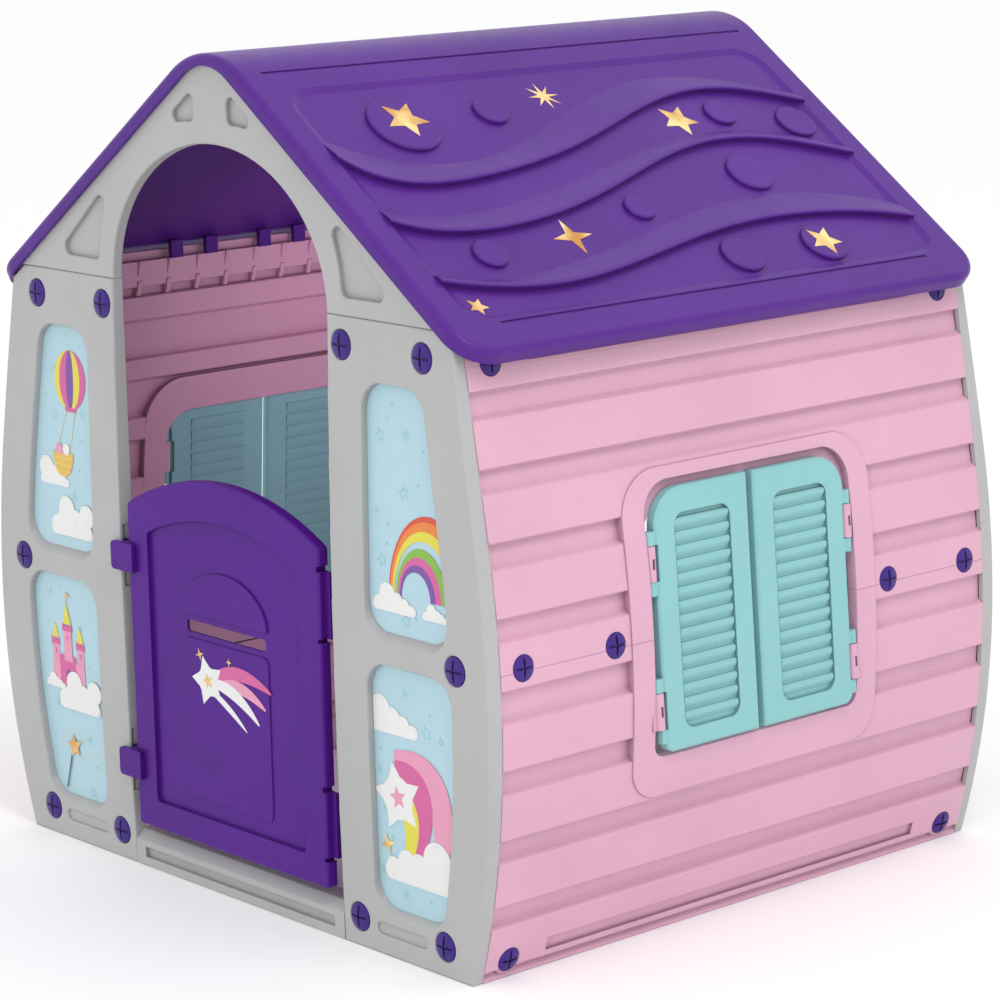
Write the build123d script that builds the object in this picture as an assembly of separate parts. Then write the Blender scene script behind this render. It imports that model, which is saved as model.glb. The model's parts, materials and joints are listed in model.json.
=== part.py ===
# Moulded plastic playhouse for small children, in millimetres.
# +X runs across the gable front, -Y is the door side, +Z is up.
# The origin is on the ground under the middle of the house.
from build123d import *
import math
import os

# ---- overall layout
FACE_Y = 442.0            # each gable face to the middle of the house
BACK_Y = 427.0            # inner side of the posts and gables
SEAM_Z = 789.0            # joint between posts and gable
FIT = 0.3                 # gap between pieces that only touch
JAMB_X = 221.0            # half width of both doorways

# ---- barrel shape of the sides
PEAK_X = 510.0
PEAK_Z = 320.0
LOWER_R = 1136.0
UPPER_R = 1350.0
TANGENT_Z = 540.0

# ---- forward bow of the posts
BOW = 6.5
BOW_R = ((SEAM_Z / 2) ** 2 + BOW**2) / (2 * BOW)

# ---- roof
SLOPE = 0.71
LIP_Z = 1093.0            # height where the lower lip lines would cross
ROOF_T = 20.0
ROOF_SKIN = 8.0
ROOF_Y = 449.0
LIP_T = 5.5
RIDGE_R = 122.0
LIP_RIDGE_R = 79.0
EAVE_S = 604.0            # slope distance from ridge to eave
CORNER_R = 50.0
RIM_R = 9.0
RELIEF = 3.5              # depth of the roof field below its border
WAVE_H = 9.0              # height of the wave steps above the field
PAD_H = 5.5
THETA = math.atan(SLOPE)

# ---- posts
WINDOW_IN = 284.0
WINDOW_OUT = -68.0
WINDOW_ZS = [(60.0, 372.0), (411.0, 715.0)]
WINDOW_R = 36.0
POCKET = 11.0
SILL_DROP = 11.0          # slope of each window's lower edge
POST_SKIN = 4.0
EDGE_R = 2.5
POST_SCREWS = [(397.0, 754.0), (247.5, 754.0), (450.0, 388.0), (415.0, 38.0), (253.0, 38.0)]

# ---- fasteners
FRONT_HEAD_R = 18.0
SIDE_HEAD_R = 16.0
SHANK_R = 8.0
HEAD_DEEP = 3.5
SLOT_W = 3.0

# ---- side walls
BOARD_TOPS = [72.0, 158.0, 244.0, 331.0, 428.0, 514.0, 602.0, 688.0]
BOARD_H = 61.0
STRIP_Z = 717.0
WALL_TOP = 783.0
HOOK_Z = 771.0
GROOVE = 9.0
BOARD_R = 2.4
SKIN = 5.0
WALL_Y = BACK_Y - FIT
SPLIT_Z = 388.0
FLANGE_X = 385.0
SIDE_SCREWS = [(391.0, 392.0), (242.0, 392.0), (390.0, 24.0), (389.0, 749.0)]

# ---- windows and shutters
SURROUND_Y = 216.0
SURROUND_ZS = (188.0, 594.0)
OPENING_Y = 180.0
OPENING_ZS = (238.0, 545.0)
REBATE_TOP = 578.0
REBATE = 9.0
SHUTTER_TILT = 3.9
SHUTTER_FACE_X = 518.0    # outer face at the bottom edge
SHUTTER_ZS = (244.0, 569.0)
SHUTTER_T = 14.0
SHUTTER_OUT = 167.0
SHUTTER_GAP = 5.0         # half the gap between the pair
AXIS_Y = 173.0
AXIS_DEEP = 5.5           # hinge axis behind the shutter's outer face
PIN_R = 4.0
RUNNING = 0.08
LUG_ZS = [(12.0, 30.0), (76.0, 94.0), (196.0, 214.0), (258.0, 276.0)]

# ---- door
DOOR_X = 200.0
DOOR_Y = (-450.0, -435.0)
DOOR_ZS = (62.0, 497.0)
DOOR_PEAK = 549.0
BAR_X = -227.0
BAR_Y = -435.0
BAR_R = 4.0
CLIP_ZS = [(125.0, 163.0), (406.0, 444.0)]
SEAT_ZS = [(100.0, 186.0), (380.0, 464.0)]


def side_x(z):
    """Half width of the barrel-shaped house at height z."""
    radius = LOWER_R if z < PEAK_Z else UPPER_R
    rise = min(z, TANGENT_Z) - PEAK_Z
    x = PEAK_X - radius + math.sqrt(radius**2 - rise**2)
    slope = (TANGENT_Z - PEAK_Z) / math.sqrt(UPPER_R**2 - (TANGENT_Z - PEAK_Z) ** 2)
    return x - slope * max(z - TANGENT_Z, 0)


def side_edges(shift, low, high):
    """Edges of the barrel side moved by shift, from height low to high."""
    stops = [low] + [z for z in (PEAK_Z, TANGENT_Z) if low < z < high] + [high]
    edges = []
    for start, end in zip(stops, stops[1:]):
        places = [(side_x(z) + shift, z) for z in (start, (start + end) / 2, end)]
        if start >= TANGENT_Z:
            edges.append(Line(places[0], places[2]))
        else:
            edges.append(ThreePointArc(*places))
    return edges


def side_band(inner, outer, low, high):
    """Closed X-Z outline between two shifted copies of the barrel side."""
    bottom = Line((side_x(low) + inner, low), (side_x(low) + outer, low))
    top = Line((side_x(high) + outer, high), (side_x(high) + inner, high))
    return make_face([bottom, *side_edges(outer, low, high), top, *side_edges(inner, low, high)])


def along_y(outline, start, end):
    """Extrude an X-Z outline from y = start to y = end."""
    return extrude(Plane.XZ.offset(-end) * outline, end - start)


def along_x(outline, start, end):
    """Extrude a Y-Z outline from x = start to x = end."""
    return extrude(Plane.YZ.offset(start) * outline, end - start)


def polygon(*points):
    return make_face(Polyline(*points, close=True))


def rounded(outline, radius):
    return fillet(outline.vertices(), radius)


def bow_y(z):
    """Front face of the posts at height z."""
    return BOW_R - BOW - FACE_Y - math.sqrt(BOW_R**2 - (z - SEAM_Z / 2) ** 2)


def behind_face(depth):
    """Everything deeper than depth behind the bowed front of the posts."""
    low, high = -20.0, SEAM_Z + 20.0
    places = [(bow_y(z) + depth, z) for z in (low, SEAM_Z / 2, high)]
    back = [(-380.0, high), (-380.0, low)]
    outline = make_face([ThreePointArc(*places), Polyline(places[2], *back, places[0])])
    return along_x(outline, 150, 600)


def screw(head_r, length):
    """A cross-slotted moulded screw: seat at z = 0, head towards +Z."""
    rim, dome = 3.0, 3.0
    side = Polyline((0, -length), (SHANK_R - 2, -length), (SHANK_R, 3 - length), (SHANK_R, 0),
                    (head_r, 0), (head_r, rim))
    crown = ThreePointArc((head_r, rim), (head_r * 0.55, rim + dome * 0.72), (0, rim + dome))
    axis = Line((0, rim + dome), (0, -length))
    body = revolve(Plane.XZ * make_face([side, crown, axis]), Axis.Z)
    slot_z = rim + dome
    for turn in (0, 90):
        body -= Pos(0, 0, slot_z) * Rot(0, 0, turn) * Box(head_r * 1.56, SLOT_W, 5)
    groove = Cylinder(head_r * 0.9, 8) - Cylinder(head_r * 0.84, 8)
    return body - Pos(0, 0, slot_z + 2) * groove


def screw_hole(head_r, depth):
    """Space for a screw: counterbore above z = 0 and shank hole below."""
    bore = Pos(0, 0, 10) * Cylinder(head_r + 0.6, 20)
    shank = Pos(0, 0, -depth / 2) * Cylinder(SHANK_R + 0.2, depth)
    return bore + shank


def post_screw_place(x, z):
    """Seat of a post screw, head facing the front."""
    return Location((x, bow_y(z) + HEAD_DEEP, z), (90, 0, 0))


def side_screw_place(y, z):
    """Seat of a wall screw, head facing away from the right wall."""
    lean = math.degrees(math.atan2(side_x(z - 5) - side_x(z + 5), 10))
    return Location((side_x(z) - HEAD_DEEP, y, z), (0, 90 - lean, 0))


def post_window(low, high):
    """Outline of one picture window of a post."""
    start, end = (WINDOW_IN, low), (WINDOW_IN, high)
    bottom = Line(start, (side_x(low) + WINDOW_OUT, low))
    top = Line((side_x(high) + WINDOW_OUT, high), end)
    outline = make_face([bottom, *side_edges(WINDOW_OUT, low, high), top, Line(end, start)])
    corners = [v for v in outline.vertices() if min(abs(v.Y - low), abs(v.Y - high)) < 1]
    return fillet(corners, WINDOW_R)


def soften_front(piece):
    """Round every edge of a piece's large front face."""
    faces = [face for face in piece.faces() if face.center().Y < -FACE_Y + 1]
    return fillet(max(faces, key=lambda face: face.area).edges(), EDGE_R)


def build_post():
    """Front right post with its two picture windows, hollow at the back."""
    x_top, gap = 429.0, 1.5
    z_side = LIP_Z - SLOPE * 452.5 - gap
    slant = [(side_x(z_side) - 1, z_side), (x_top, LIP_Z - SLOPE * x_top - gap)]
    slant += [(x_top - 3, SEAM_Z), (JAMB_X, SEAM_Z), (JAMB_X, 0), (side_x(0) - 1, 0)]
    outline = make_face([*side_edges(-1, 0, z_side), Polyline(*slant)])
    windows = [post_window(*span) for span in WINDOW_ZS]
    post = along_y(outline, -470, -BACK_Y) & behind_face(0)
    hollow = offset(outline, -7)
    for window in windows:
        sill = loft([Plane.XZ.offset(450) * Pos(0, -SILL_DROP) * window, Plane.XZ.offset(434) * window])
        post -= (along_y(window, -470, -400) + sill) - behind_face(POCKET)
        hollow -= offset(window, 5) + Pos(0, -SILL_DROP) * offset(window, 3)
    for x, z in POST_SCREWS:
        hollow -= Pos(x, z) * Circle(15)
    hollow -= Pos(JAMB_X, SEAM_Z / 2) * Rectangle(46, SEAM_Z)
    post -= along_y(hollow, -460, -BACK_Y + 1) & behind_face(POST_SKIN)
    groove = Pos(334, 33) * RectangleRounded(94, 15, 7)
    post -= along_y(groove, -470, -400) - behind_face(3)
    for x, z in POST_SCREWS:
        post -= post_screw_place(x, z) * screw_hole(FRONT_HEAD_R, 40)
    post = soften_front(post)
    pictures = [along_y(offset(w, -0.3), -470, -400) & behind_face(POCKET - 0.55) for w in windows]
    return post, [picture - behind_face(POCKET - 0.05) for picture in pictures]


def hinge_seats(post):
    """Cut the two hinge seats in the left jamb and leave a bar across each."""
    for low, high in SEAT_ZS:
        middle, height = (low + high) / 2, high - low
        post -= Pos(-JAMB_X - 8, BAR_Y + 5.3, middle) * Box(24, 26, height)
        post += Pos(BAR_X, BAR_Y, middle) * Cylinder(BAR_R, height + 4)
    return post


def arch(extra=0.0):
    """Doorway outline above the seam: half an ellipse."""
    ellipse = Pos(0, SEAM_Z) * Ellipse(JAMB_X + extra, 188.4 + extra)
    return ellipse


def build_gable():
    """Arched gable that closes a doorway under the roof."""
    rise = (ROOF_T - ROOF_SKIN) / math.cos(THETA) - 1.0
    top = LIP_Z + rise
    foot_x = (top - SEAM_Z - FIT) / SLOPE
    outline = polygon((-foot_x, SEAM_Z + FIT), (foot_x, SEAM_Z + FIT), (0, top))
    peak = outline.vertices().sort_by(Axis.Y)[-1]
    outline = fillet(peak, RIDGE_R - ROOF_SKIN)
    gable = along_y(outline, -FACE_Y, -BACK_Y) - along_y(arch(), -500, -400)
    hollow = offset(outline, -8) - arch(8)
    for sign in (1, -1):
        recesses = gable_recesses(sign)
        for recess in recesses:
            gable -= along_y(recess, -FACE_Y - 1, -FACE_Y + 7)
            hollow -= offset(recess, 4)
    return soften_front(gable - along_y(hollow, -FACE_Y + POST_SKIN, -BACK_Y + 1))


def gable_recesses(sign):
    """The two sunken triangles on one side of a gable."""
    upper = make_face([
        Line((sign * 34, 1003), (sign * 34, 1046)),
        Line((sign * 34, 1046), (sign * 133, 976)),
        ThreePointArc((sign * 133, 976), (sign * 84, 998), (sign * 34, 1003)),
    ])
    lower = make_face([
        Line((sign * 205, 934), (sign * 347, 812)),
        Line((sign * 347, 812), (sign * 249, 811)),
        ThreePointArc((sign * 249, 811), (sign * 239, 870), (sign * 205, 934)),
    ])
    return [rounded(upper, 9), rounded(lower, 11)]


def build_threshold():
    """Sill between the feet of two posts, with a long front groove."""
    front, back = -FACE_Y, -FACE_Y + 40
    section = polygon((front, 0), (front, 34), (front + 12, 46), (back, 46), (back, 0))
    ridge = [v for v in section.vertices() if v.Y > 30]
    sill = along_x(fillet(ridge, 3), -JAMB_X + FIT, JAMB_X - FIT)
    sill -= Pos(0, front, 19) * Box(402, 10, 14)
    return sill - Pos(0, (front + back) / 2 + 3, 15) * Box(2 * JAMB_X - 20, 26, 40)


def wall_outline(shift, grow):
    """Outline points of the boarded wall, outside face or inside face."""
    points = [(side_x(0) + shift, 0)]
    for top in BOARD_TOPS:
        low = max(top - BOARD_H, 0)
        if low > 0:
            points.append((side_x(low - grow) - GROOVE + shift, low - 1 + grow))
            points.append((side_x(low) + shift, low + 2 + grow))
        points.append((side_x(top) + shift, top - 3 - grow))
        points.append((side_x(top) - GROOVE + shift, top + 2 - grow))
    points.append((side_x(STRIP_Z) - GROOVE + shift, STRIP_Z - 1 + grow))
    points.append((side_x(STRIP_Z) + shift, STRIP_Z + 2 + grow))
    points.append((side_x(WALL_TOP) + shift, WALL_TOP))
    return points


def window_outline(half, low, high, top_r, low_r):
    """Y-Z outline of a window with large upper and small lower corners."""
    outline = Pos(0, (low + high) / 2) * Rectangle(2 * half, high - low)
    outline = fillet(outline.vertices().group_by(Axis.Y)[-1], top_r)
    return fillet(outline.vertices().group_by(Axis.Y)[0], low_r)


def build_wall():
    """Right wall in one piece: boards, window surround, end flanges."""
    outer = wall_outline(0, 0)
    inner = wall_outline(-SKIN, 3)
    section = polygon(*outer, *reversed(inner))
    edges = [v for v in section.vertices() if 5 < v.Y < WALL_TOP - 5]
    wall = along_y(fillet(edges, BOARD_R), -WALL_Y, WALL_Y)
    frame = window_outline(SURROUND_Y, *SURROUND_ZS, 62, 42)
    wall += along_y(side_band(-14, 1.5, 170, 610), -230, 230) & along_x(frame, 400, 560)
    for sign in (1, -1):
        flange = polygon(*wall_outline(-0.6, 0), (FLANGE_X, WALL_TOP), (FLANGE_X, 0))
        start, end = sorted((sign * WALL_Y, sign * (WALL_Y - 6)))
        wall += along_y(flange, start, end)
        for y, z in SIDE_SCREWS:
            place = side_screw_place(sign * y, z)
            wall += place * Pos(0, 0, -5.3) * Cylinder(SIDE_HEAD_R + 5, 10)
    wall -= along_x(window_outline(OPENING_Y, *OPENING_ZS, 45, 16), 400, 560)
    rebate = along_x(window_outline(OPENING_Y, 400, REBATE_TOP, 45, 1), 400, 560)
    wall -= rebate & along_y(side_band(-REBATE, 30, 390, 600), -200, 200)
    for middle, height, deep in ((29, 17, 5), (752, 12, 4)):
        wall += along_y(side_band(-12, -3, middle - 18, middle + 18), -345, 345)
        slot = side_band(-deep, 20, middle - height / 2, middle + height / 2)
        wall -= along_y(slot, -330, 330)
    for sign in (1, -1):
        for y, z in SIDE_SCREWS:
            wall -= side_screw_place(sign * y, z) * screw_hole(SIDE_HEAD_R, 30)
        for x, z in POST_SCREWS:
            if x > 380:
                wall -= Pos(x, sign * WALL_Y, z) * Rot(90, 0, 0) * Cylinder(SHANK_R + 0.3, 30)
    wall = wall & (Pos(0, 0, 500) * Box(1400, 2 * WALL_Y, 1000))
    return wall + shutter_knuckles()


def shutter_plane():
    """Frame of the right wall's shutters: x to the rear, y up, z outward."""
    lean = math.radians(SHUTTER_TILT)
    foot = (SHUTTER_FACE_X, 0, SHUTTER_ZS[0])
    return Plane(foot, x_dir=(0, 1, 0), z_dir=(math.cos(lean), 0, math.sin(lean)))


def shutter_knuckles():
    """Snap-in hinge knuckles on the wall, two beside each shutter."""
    plane = shutter_plane()
    solids = []
    for sign in (1, -1):
        for (_, low), (high, _) in (LUG_ZS[0:2], LUG_ZS[2:4]):
            height = high - low - 2 * FIT
            place = Pos(sign * AXIS_Y, (low + high) / 2, -AXIS_DEEP)
            knuckle = place * Rot(90, 0, 0) * Cylinder(7.4, height)
            knuckle += place * Pos(sign * 6, 0, -2.5) * Box(12, height, 9.8)
            knuckle -= place * Rot(90, 0, 0) * Cylinder(PIN_R + RUNNING, height + 2)
            knuckle -= place * Pos(0, 0, 6) * Box(3.4, 13, 10)
            knuckle -= place * Pos(-sign * 6, 0, -3) * Box(9, height + 2, 4.6)
            solids.append(plane * knuckle)
    return solids


def build_shutter(sign):
    """Louvred shutter of the right wall; sign -1 is the one nearer the door."""
    width, height = SHUTTER_OUT - SHUTTER_GAP, SHUTTER_ZS[1] - SHUTTER_ZS[0]
    middle = sign * (SHUTTER_OUT + SHUTTER_GAP) / 2
    outline = Pos(middle, height / 2) * Rectangle(width, height)
    ends = outline.vertices().sort_by(lambda v: sign * v.X)
    outer = sorted(ends[2:], key=lambda v: v.Y)
    inner = sorted(ends[:2], key=lambda v: v.Y)
    outline = fillet(outer[1], 48)
    outline = fillet([min(outline.vertices(), key=lambda v: v.Y - sign * v.X)], 14)
    shutter = extrude(outline, -SHUTTER_T)
    shutter = chamfer(shutter.faces().sort_by(Axis.Z)[-1].edges(), 2.5)
    panel = Pos(middle, height / 2 - 4) * RectangleRounded(96, 268, 16)
    shutter -= extrude(panel, -5)
    pitch, count = 17.2, 15
    for index in range(count):
        level = height / 2 - 4 + (index - (count - 1) / 2) * pitch
        slat = polygon((-8, -5.4), (8, -5.4), (7, -2.4), (4.5, -0.8), (0, -1.4))
        blade = extrude(Plane.YZ.offset(-46.5) * slat, 93)
        shutter += Pos(middle, level, 0) * blade
    axis = Pos(sign * AXIS_Y, 0, -AXIS_DEEP)
    for low, high in LUG_ZS:
        rise = (low + high) / 2
        shutter += axis * Pos(0, rise, 0) * Rot(90, 0, 0) * Cylinder(6, high - low)
        shutter += axis * Pos(-sign * 4, rise, 0) * Box(8, high - low, 9)
    for (_, low), (high, _) in (LUG_ZS[0:2], LUG_ZS[2:4]):
        shutter += axis * Pos(0, (low + high) / 2, 0) * Rot(90, 0, 0) * Cylinder(PIN_R, high - low + 2)
    for low, high in ((LUG_ZS[0][0], LUG_ZS[1][1]), (LUG_ZS[2][0], LUG_ZS[3][1])):
        bottom, top = low + 18 - 0.5, high - 18 + 0.5
        notch = Box(8.6, top - bottom, 40) - Box(1, 1, 1)
        shutter -= Pos(sign * (SHUTTER_OUT + 0.2), (bottom + top) / 2, 0) * notch - pin_core(sign)
    return shutter_plane() * shutter


def pin_core(sign):
    """Space round the hinge pins that a shutter's notches leave alone."""
    return Pos(sign * AXIS_Y, 150, -AXIS_DEEP) * Rot(90, 0, 0) * Cylinder(PIN_R, 400)


def arched(half, low, shoulder, peak):
    """X-Z outline of a panel with a shallow arched top."""
    sides = Polyline((-half, shoulder), (-half, low), (half, low), (half, shoulder))
    return make_face([sides, ThreePointArc((half, shoulder), (0, peak), (-half, shoulder))])


def build_door():
    """Half door with letter slot, snap-on hinge clips and latch-side tabs."""
    front, back = DOOR_Y
    outline = arched(DOOR_X, *DOOR_ZS, DOOR_PEAK)
    door = along_y(fillet(outline.vertices(), 5), front, back)
    door = chamfer(door.faces().sort_by(Axis.Y)[0].edges(), 2)
    door -= along_y(rounded(arched(158, 100, 463, 498), 6), front - 1, front + 5)
    dome = Pos(0, 370) * Ellipse(88, 61) & Pos(0, 440) * Rectangle(200, 140)
    door += along_y(rounded(dome, 4), front + 2.5, front + 6)
    door += along_y(Pos(0, 230) * RectangleRounded(176, 214, 10), front + 3.5, front + 6)
    door -= along_y(Pos(0, 352.5) * RectangleRounded(165, 16, 4), front - 1, back + 1)
    door -= along_y(rounded(arched(186, 76, 480, 530), 6), front + 9, back + 1)
    door -= Pos(DOOR_X - 2, 0, 0) * door_notches()
    for low, high in CLIP_ZS:
        door += door_clip((low + high) / 2, high - low)
        door += Pos(DOOR_X + 3, back - 3, (low + high) / 2) * Box(14, 6, 84)
    return door


def door_notches():
    """Small gaps above and below each latch-side tab."""
    notches = []
    for low, high in CLIP_ZS:
        middle = (low + high) / 2
        notches.append(Pos(1, DOOR_Y[0] + 7, middle + 46) * Box(8, 20, 7))
        notches.append(Pos(1, DOOR_Y[0] + 7, middle - 45) * Box(8, 20, 5))
    return Compound(notches)


def door_clip(middle, height):
    """Snap-on hinge clip that reaches round the bar in the left jamb."""
    front = DOOR_Y[0] - 7
    plate = Pos(-207.5, front + 3.25, middle) * Box(47, 6.5, height)
    plate = fillet(plate.edges().filter_by(Axis.Y).sort_by(Axis.X)[:2], 6)
    arm = Pos(-206, (front + DOOR_Y[1]) / 2, middle) * Box(15, DOOR_Y[1] - front, height)
    hook = Pos(BAR_X, BAR_Y, middle) * Cylinder(7.2, height)
    bridge = Pos(-216, BAR_Y, middle) * Box(14, 8, height)
    bore = Pos(BAR_X, BAR_Y, middle) * Cylinder(BAR_R + RUNNING, height + 2)
    mouth = Pos(BAR_X - 1, BAR_Y + 6, middle) * Box(5, 8, height + 2)
    return plate + arm + ((hook + bridge) - bore - mouth)


def slope_plane():
    """Frame of the right roof slope: x down the slope, y back, z out."""
    apex = LIP_Z + ROOF_T / math.cos(THETA)
    down = (math.cos(THETA), 0, -math.sin(THETA))
    return Plane((0, 0, apex), x_dir=down, z_dir=(math.sin(THETA), 0, math.cos(THETA)))


def ridge_arc(radius, depth):
    """Half ridge arc tangent to the slope line at depth under the roof's top."""
    centre = LIP_Z + (ROOF_T - depth - radius) / math.cos(THETA)
    turns = (0, THETA / 2, THETA)
    return [(radius * math.sin(turn), centre + radius * math.cos(turn)) for turn in turns]


def roof_block(inset, depth, reach):
    """Right half of the roof outline, from depth under its top to reach."""
    crown = ridge_arc(RIDGE_R - depth, depth)
    under = ridge_arc(LIP_RIDGE_R, reach)
    ends = [(x + 500, z - 500 * SLOPE) for x, z in (crown[2], under[2])]
    outline = make_face([
        ThreePointArc(*crown), Polyline(crown[2], ends[0], ends[1], under[2]),
        ThreePointArc(*under), Line(under[0], crown[0]),
    ])
    block = along_y(outline, -ROOF_Y + inset, ROOF_Y - inset)
    end = EAVE_S - inset
    plan = Pos(end / 2 - 150, 0) * Rectangle(end + 300, 2 * (ROOF_Y - inset))
    plan = fillet(plan.vertices().group_by(Axis.X)[-1], CORNER_R - inset)
    return block & (slope_plane() * extrude(plan, 400, both=True))


def wave(*places):
    """One roof wave: a soft ramp that ends in a step on its lower side."""
    sections = []
    for y, upper, lower in places:
        ramp = polygon((upper, -0.5), (lower, -0.5), (lower, WAVE_H - 1.2), (lower - 2, WAVE_H), (lower - 7, WAVE_H - 0.6))
        sections.append(Plane((0, y, -RELIEF), x_dir=(1, 0, 0), z_dir=(0, -1, 0)) * ramp)
    return loft(sections)


PADS = [(205, -268, 50), (196, -119, 25), (245, 249, 24), (279, 365, 30), (364, 206, 34),
        (401, -21, 22), (507, 74, 31), (507, 222, 33), (445, -302, 24)]
WAVES = [
    [(-409, 206, 255), (-290, 272, 320), (-191, 276, 314), (8, 204, 266), (178, 160, 209),
     (288, 172, 205), (409, 216, 246)],
    [(-409, 334, 374), (-324, 366, 406), (-261, 368, 409), (-76, 334, 376), (118, 286, 313),
     (259, 280, 305), (409, 332, 357)],
    [(-409, 460, 484), (-332, 484, 506), (-236, 482, 515), (-57, 446, 488), (108, 409, 458),
     (256, 406, 457), (409, 447, 489)],
]
# slope distance, depth, size, points, height of the face it sits on
STARS = [(198, -262, 34, 5, PAD_H - RELIEF), (176, -13, 25, 8, -RELIEF),
         (248, 172, 31, 5, -RELIEF), (433, -158, 32, 4, -RELIEF),
         (525, -379, 15, 5, -RELIEF), (506, 223, 27, 5, PAD_H - RELIEF)]


def build_roof_slope():
    """Right slope of the roof as a lipped shell with its relief."""
    outside = roof_block(0, 0, ROOF_T)
    rim = [edge for edge in outside.edges() if on_rim(edge)]
    shell = fillet(rim, RIM_R) - roof_block(LIP_T, ROOF_SKIN, 60)
    field = fillet((Pos(338, 0) * Rectangle(432, 818)).vertices(), 45)
    relief = extrude(field, -RELIEF, taper=70)
    for s, reach in ((60, 413), (88, 414), (559, 370)):
        relief += Pos(s, 0, 0) * Box(4, 2 * reach, 3)
    raised = [wave(*places) for places in WAVES]
    for s, y, radius in PADS:
        pad = Pos(s, y, (PAD_H + 0.5) / 2 - RELIEF - 0.5) * Cylinder(radius, PAD_H + 0.5)
        raised.append(fillet(pad.edges().group_by(Axis.Z)[-1], 3))
    return shell - slope_plane() * relief + [slope_plane() * piece for piece in raised]


def on_rim(edge):
    """True for the upper edges round a roof half, apart from the ridge."""
    middle = slope_plane().to_local_coords(edge @ 0.5)
    return middle.Z > -8 and (abs(middle.Y) > 400 or middle.X > 600)


def star(s, y, size, points, level):
    """A thin printed star standing on the roof field or on a pad."""
    inner = size * (0.45 if points == 5 else 0.3)
    turns = [math.pi * index / points for index in range(2 * points)]
    radii = [size if index % 2 == 0 else inner for index in range(2 * points)]
    corners = [(r * math.cos(t), r * math.sin(t)) for r, t in zip(radii, turns)]
    return Pos(s, y, level + 0.02) * extrude(polygon(*corners), 0.4)


def ridge_side(gap):
    """Space of the right roof half, with interlocking tabs at the ridge."""
    region = Pos(500 + gap, 0, 900) * Box(1000, 1200, 700)
    for y in (-300, -60, 180):
        region += Pos(0, y, 1080) * Box(24 - 2 * gap, 60 - 2 * gap, 60)
    for y in (-180, 60, 300):
        region -= Pos(0, y, 1080) * Box(24 + 2 * gap, 60 + 2 * gap, 60)
    return region


def roof_hooks():
    """Hooks that hold the right roof edge inside the top of the wall."""
    inner_x = side_x(WALL_TOP) - 14
    under_z = LIP_Z + (ROOF_T - ROOF_SKIN) / math.cos(THETA) - SLOPE * inner_x - 1.5
    return [Pos(inner_x - 4, y, (HOOK_Z + under_z) / 2) * Box(7, 20, under_z - HOOK_Z)
            for y in (-185, -125, -31, 31, 125, 185)]


def mirrored(solids, plane):
    return [mirror(solid, about=plane) for solid in solids]


def save(name, shape):
    """Write one node; a list is written as a group of separate solids."""
    solids = shape if isinstance(shape, list) else [shape]
    solids = [solid for item in solids for solid in item.solids()]
    export_step(solids[0] if len(solids) == 1 else Compound(solids), f"parts/{name}.step")


def save_frames():
    post, pictures = build_post()
    left_post = mirror(post, about=Plane.YZ)
    save("front_right_post", post)
    save("front_left_post", hinge_seats(left_post))
    save("rear_right_post", mirror(post, about=Plane.XZ))
    save("rear_left_post", mirror(left_post, about=Plane.XZ))
    for name, picture in zip(("lower", "upper"), pictures):
        save(f"front_right_{name}_picture", picture)
        save(f"front_left_{name}_picture", mirror(picture, about=Plane.YZ))
    gable = build_gable()
    save("front_gable_arch", gable)
    save("rear_gable_arch", mirror(gable, about=Plane.XZ))
    threshold = build_threshold()
    save("front_threshold", threshold)
    save("rear_threshold", mirror(threshold, about=Plane.XZ))
    screws = [post_screw_place(x, z) * screw(FRONT_HEAD_R, 24) for x, z in POST_SCREWS]
    screws += mirrored(screws, Plane.YZ)
    save("front_post_screws", screws)
    save("rear_post_screws", mirrored(screws, Plane.XZ))


def save_walls():
    wall = build_wall()
    above = Pos(0, 0, SPLIT_Z + FIT / 2 + 500) * Box(1400, 1200, 1000)
    below = Pos(0, 0, SPLIT_Z - FIT / 2 - 500) * Box(1400, 1200, 1000)
    screws = [side_screw_place(sign * y, z) * screw(SIDE_HEAD_R, 20)
              for sign in (-1, 1) for y, z in SIDE_SCREWS]
    shutters = {"front": build_shutter(-1), "rear": build_shutter(1)}
    pieces = {"wall_upper": wall & above, "wall_lower": wall & below, "wall_screws": screws}
    pieces |= {f"{name}_shutter": shutter for name, shutter in shutters.items()}
    for name, piece in pieces.items():
        group = piece if isinstance(piece, list) else [piece]
        save(f"right_{name}", group)
        save(f"left_{name}", mirrored(group, Plane.YZ))


def save_roof():
    slope = build_roof_slope()
    roof = slope + mirror(slope, about=Plane.YZ)
    hooks = roof_hooks()
    stars = [slope_plane() * star(*values) for values in STARS]
    save("roof_right_panel", roof & ridge_side(0.15))
    save("roof_left_panel", roof - ridge_side(-0.15))
    save("roof_right_hooks", hooks)
    save("roof_left_hooks", mirrored(hooks, Plane.YZ))
    save("roof_right_stars", stars)
    save("roof_left_stars", mirrored(stars, Plane.YZ))


def save_door():
    save("front_door", build_door())
    badge = Pos(4, 282) * RectangleRounded(168, 100, 30)
    save("door_picture", along_y(badge, DOOR_Y[0] + 3.0, DOOR_Y[0] + 3.45))


os.makedirs("parts", exist_ok=True)
save_frames()
save_walls()
save_roof()
save_door()
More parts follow.
